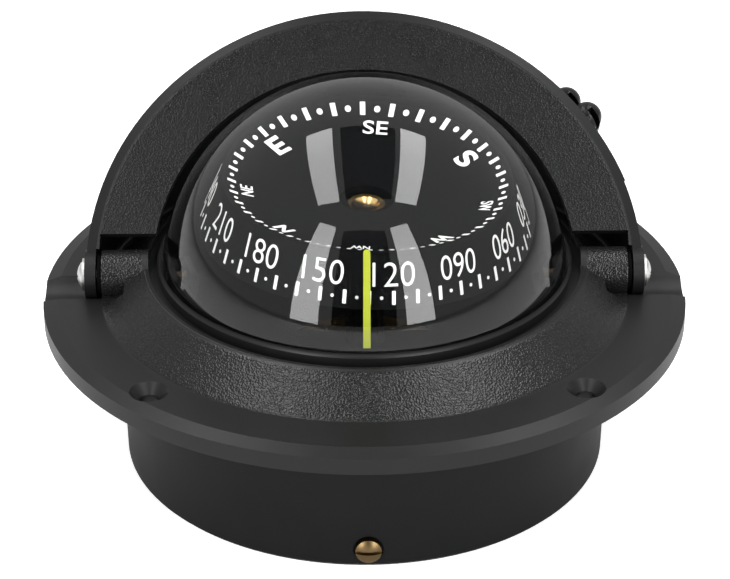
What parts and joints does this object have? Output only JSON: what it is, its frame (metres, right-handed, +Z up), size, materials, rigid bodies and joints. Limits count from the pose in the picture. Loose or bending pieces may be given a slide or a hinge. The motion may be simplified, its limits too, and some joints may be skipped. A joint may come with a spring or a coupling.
{
  "type": "flush-mount marine compass",
  "caption": "Flush-mount boat compass: a round screwed flange carries a clear dome over a gimballed card, a quarter-sphere sun hood on side pivots, and a round case below the panel.",
  "frame": {"origin": "on the compass axis, in the plane of the flange's underside, at the centre of the four panel screw holes", "axes": "+Z up out of the panel, -Y towards the helmsman, +X to the helmsman's right"},
  "size_m": [0.146, 0.146, 0.0892],
  "materials": {
    "black_plastic": "moulded black plastic, fine leather grain on the raised ring, satin elsewhere",
    "hood_plastic": "moulded black plastic with a fine grain and smooth edges",
    "inner_plastic": "plain black plastic",
    "clear_plastic": "polished clear plastic",
    "card_black": "matte black with white printing",
    "print_white": "white printing ink on the card",
    "index_yellow": "yellow-green plastic",
    "rubber": "black rubber",
    "brass": "turned brass",
    "steel": "plain stainless steel",
    "bright_steel": "bright stainless steel",
    "magnet_steel": "dark magnet steel",
    "red_lens": "clear red",
    "bulb_glass": "clear glass"
  },
  "bodies": {
    "base": {"bezel": "black_plastic", "body_can": "black_plastic", "dome": "clear_plastic", "dome_seal": "rubber", "bowl": "inner_plastic", "clamp_ring": "steel", "clamp_screws": "steel", "body_screws": "steel", "diaphragm": "rubber", "diaphragm_ring": "brass", "diaphragm_screws": "steel", "fill_plug": "brass", "gimbal_pins": "brass", "compensator_bushes": "inner_plastic", "lamp_lens": "red_lens", "lamp_bulb": "bulb_glass", "lamp_socket": "inner_plastic", "lead_grommet": "rubber", "hood_screws": "bright_steel", "hood_washers": "inner_plastic", "pivot_inserts": "brass"},
    "hood": {"hood": "hood_plastic"},
    "gimbal": {"gimbal_ring": "inner_plastic", "cradle_pins": "brass"},
    "cradle": {"cradle": "inner_plastic", "cradle_weight": "brass", "pivot_post": "steel", "lubber_line": "index_yellow"},
    "card": {"card_dial": "card_black", "card_float": "card_black", "card_magnets": "magnet_steel", "jewel_cup": "brass"},
    "front_compensator": {"compensator_rod_front": "brass", "compensator_magnets_front": "magnet_steel"},
    "side_compensator": {"compensator_rod_side": "brass", "compensator_magnets_side": "magnet_steel"}
  },
  "joints": [
    {"name": "hood_swing", "type": "hinge", "parent": "base", "child": "hood", "pos_m": [0, 0, 0.008], "axis": [1, 0, 0], "range_deg": [0, 80]},
    {"name": "gimbal_roll", "type": "hinge", "parent": "base", "child": "gimbal", "pos_m": [0, 0, 0.0074], "axis": [0, 1, 0], "range_deg": [-24, 24]},
    {"name": "gimbal_pitch", "type": "hinge", "parent": "gimbal", "child": "cradle", "pos_m": [0, 0, 0.0074], "axis": [1, 0, 0], "range_deg": [-24, 24]},
    {"name": "card_turn", "type": "hinge", "parent": "cradle", "child": "card", "pos_m": [0, 0, 0.01275], "axis": [0, 0, 1], "continuous": true},
    {"name": "front_compensator_turn", "type": "hinge", "parent": "base", "child": "front_compensator", "pos_m": [0, 0, -0.03025], "axis": [0, 1, 0], "continuous": true},
    {"name": "side_compensator_turn", "type": "hinge", "parent": "base", "child": "side_compensator", "pos_m": [0, 0, -0.0243], "axis": [1, 0, 0], "continuous": true}
  ]
}
